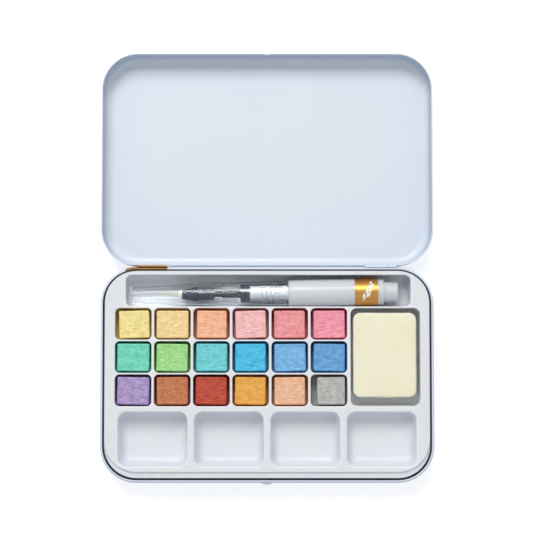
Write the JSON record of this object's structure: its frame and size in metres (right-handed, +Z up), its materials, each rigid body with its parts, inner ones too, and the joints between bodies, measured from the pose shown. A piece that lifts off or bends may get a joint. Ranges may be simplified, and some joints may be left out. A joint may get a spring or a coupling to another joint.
{
  "type": "watercolor pan set",
  "caption": "Hinged pressed tin holding a tray of pearlescent paint cakes, mixing wells, a sponge and a capped water brush, shown open.",
  "frame": {"origin": "centre of the base's flat underside", "axes": "+X along the hinge to the right, +Y from the base to the open lid, +Z up out of the wells"},
  "size_m": [0.15, 0.1952, 0.014],
  "materials": {
    "tin_enamel": "glossy white enamel with a faint blue cast",
    "hinge_wire": "plain drawn wire",
    "tray_plastic": "glossy white moulding",
    "sponge_foam": "fine cream cellulose foam",
    "pen_clear": "clear moulded plastic",
    "pen_frosted": "milky soft plastic",
    "pen_dark": "black plastic",
    "pen_pale": "pale plastic",
    "bristle": "fine nylon hair",
    "gold_band": "printed metallic gold",
    "cake_yellow_paint": "pearlescent pressed paint",
    "cake_peach_paint": "pearlescent pressed paint",
    "cake_salmon_paint": "pearlescent pressed paint",
    "cake_light_pink_paint": "pearlescent pressed paint",
    "cake_rose_paint": "pearlescent pressed paint",
    "cake_pink_paint": "pearlescent pressed paint",
    "cake_mint_paint": "pearlescent pressed paint",
    "cake_green_paint": "pearlescent pressed paint",
    "cake_aqua_paint": "pearlescent pressed paint",
    "cake_cyan_paint": "pearlescent pressed paint",
    "cake_sky_blue_paint": "pearlescent pressed paint",
    "cake_blue_paint": "pearlescent pressed paint",
    "cake_lavender_paint": "pearlescent pressed paint",
    "cake_copper_paint": "pearlescent pressed paint",
    "cake_rust_paint": "pearlescent pressed paint",
    "cake_gold_paint": "pearlescent pressed paint",
    "cake_bronze_paint": "pearlescent pressed paint",
    "cake_silver_paint": "pearlescent pressed paint"
  },
  "bodies": {
    "base": {"base_tin": "tin_enamel", "hinge_pin_left": "hinge_wire", "hinge_pin_right": "hinge_wire"},
    "lid": {"lid_tin": "tin_enamel"},
    "tray": {"tray": "tray_plastic", "cake_yellow": "cake_yellow_paint", "cake_peach": "cake_peach_paint", "cake_salmon": "cake_salmon_paint", "cake_light_pink": "cake_light_pink_paint", "cake_rose": "cake_rose_paint", "cake_pink": "cake_pink_paint", "cake_mint": "cake_mint_paint", "cake_green": "cake_green_paint", "cake_aqua": "cake_aqua_paint", "cake_cyan": "cake_cyan_paint", "cake_sky_blue": "cake_sky_blue_paint", "cake_blue": "cake_blue_paint", "cake_lavender": "cake_lavender_paint", "cake_copper": "cake_copper_paint", "cake_rust": "cake_rust_paint", "cake_gold": "cake_gold_paint", "cake_bronze": "cake_bronze_paint", "cake_silver": "cake_silver_paint"},
    "sponge": {"sponge": "sponge_foam"},
    "pen": {"pen_section": "pen_clear", "pen_ferrule": "pen_dark", "pen_collar": "pen_pale", "pen_bristles": "bristle", "pen_feed": "pen_dark"},
    "cap": {"pen_cap": "pen_clear"},
    "valve": {"pen_valve_ring": "pen_dark"},
    "barrel": {"pen_barrel": "pen_frosted", "pen_label_band": "gold_band", "pen_tail_plug": "pen_frosted"}
  },
  "joints": [
    {"name": "lid_hinge", "type": "hinge", "parent": "base", "child": "lid", "pos_m": [0, 0.0486, 0.011], "axis": [-1, 0, 0], "range_deg": [-180, 0]},
    {"name": "tray_lift", "type": "slide", "parent": "base", "child": "tray", "axis": [0, 0, 1], "range_m": [0, 0.03]},
    {"name": "sponge_lift", "type": "slide", "parent": "tray", "child": "sponge", "axis": [0, 0, 1], "range_m": [0, 0.02]},
    {"name": "pen_lift", "type": "slide", "parent": "tray", "child": "pen", "axis": [0, 0, 1], "range_m": [0, 0.025]},
    {"name": "cap_twist", "type": "hinge", "parent": "pen", "child": "cap", "pos_m": [0.0096, 0.03661, 0.00767], "axis": [0.9999, 0.0131, 0], "continuous": true},
    {"name": "barrel_turn", "type": "hinge", "parent": "pen", "child": "valve", "pos_m": [0.0096, 0.03661, 0.00767], "axis": [0.9999, 0.0131, 0], "range_deg": [0, 720]},
    {"name": "barrel_draw", "type": "slide", "parent": "valve", "child": "barrel", "axis": [0.9999, 0.0131, 0], "range_m": [0, 0.004]}
  ],
  "couplings": [
    {"joint": "barrel_draw", "follows": "barrel_turn", "m_per_rad": 0.00031831}
  ]
}
